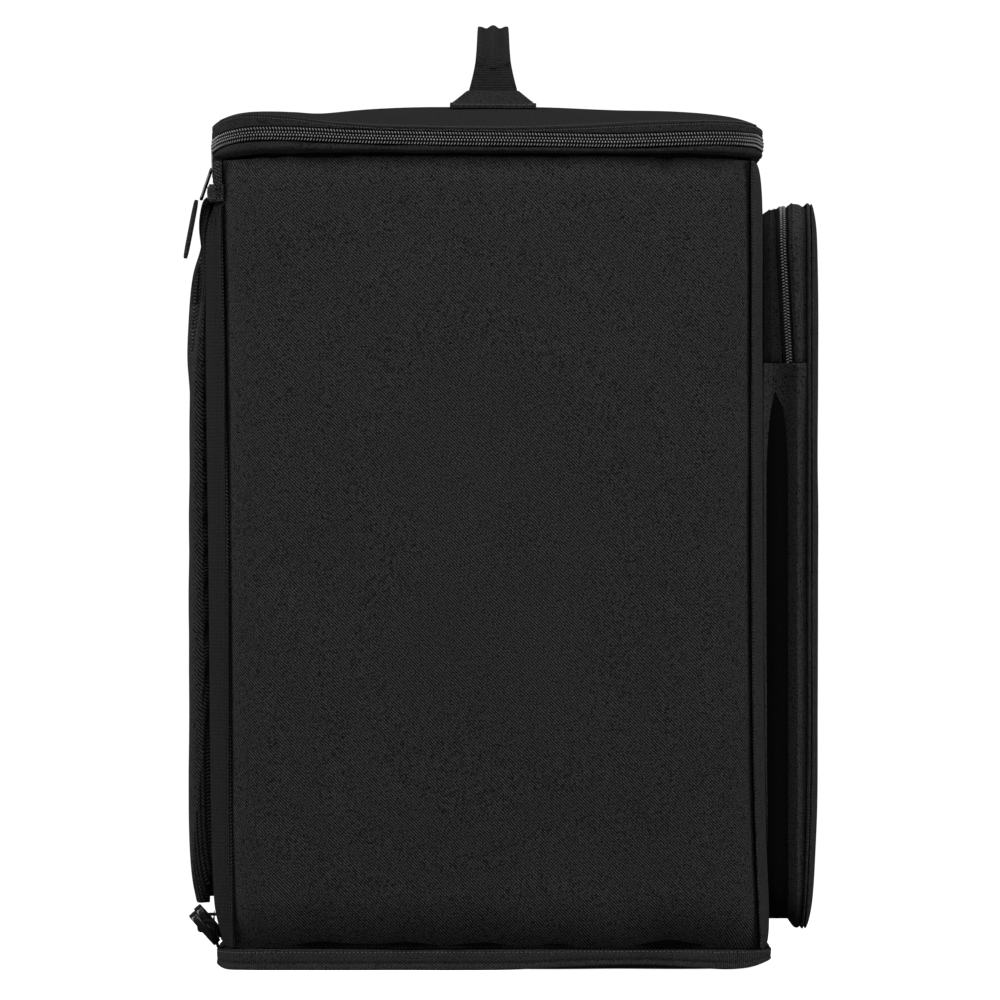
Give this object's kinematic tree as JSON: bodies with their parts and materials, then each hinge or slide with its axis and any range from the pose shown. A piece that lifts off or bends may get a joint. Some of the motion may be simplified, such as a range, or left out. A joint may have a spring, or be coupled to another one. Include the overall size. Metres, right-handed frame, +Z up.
{
  "type": "speaker backpack",
  "caption": "Upright padded backpack for a portable speaker, with a zipped lid, a grab handle, a slim zipped front pocket and padded shoulder straps.",
  "frame": {"origin": "under the middle of the bag's overall box, on the surface that it stands on", "axes": "+Z up, +X towards the front pocket and away from the wearer's back, +Y across the bag"},
  "size_m": [0.321, 0.315, 0.4746],
  "materials": {
    "twill": "black polyester twill over thin foam",
    "air_mesh": "black open spacer mesh",
    "webbing": "black ribbed webbing",
    "zip_coil": "dark nylon coil on woven tape",
    "plastic": "smooth black moulded plastic",
    "metal": "dark plated metal"
  },
  "bodies": {
    "root": {"front_panel": "twill", "back_panel": "twill", "floor_panel": "twill", "lid_top": "twill", "lid_gusset": "twill", "zip_roll": "twill", "side_panel_near": "twill", "side_panel_far": "twill", "pocket_front": "twill", "pocket_outer_strip": "twill", "pocket_inner_strip": "twill", "pocket_lower_strip": "twill", "back_pad": "air_mesh", "shoulder_strap_near": "air_mesh", "shoulder_strap_far": "air_mesh", "base_band": "webbing", "handle": "webbing", "handle_patch_near": "webbing", "handle_patch_far": "webbing", "strap_anchor": "webbing", "strap_web_near": "webbing", "strap_web_far": "webbing", "pocket_piping": "webbing", "pocket_pull": "webbing", "lid_pull_tab": "webbing", "lid_zip": "zip_coil", "pocket_zip": "zip_coil", "buckle_near": "plastic", "buckle_far": "plastic", "lid_slider": "metal", "lid_pull_wire": "metal", "pocket_slider": "metal"}
  },
  "joints": []
}
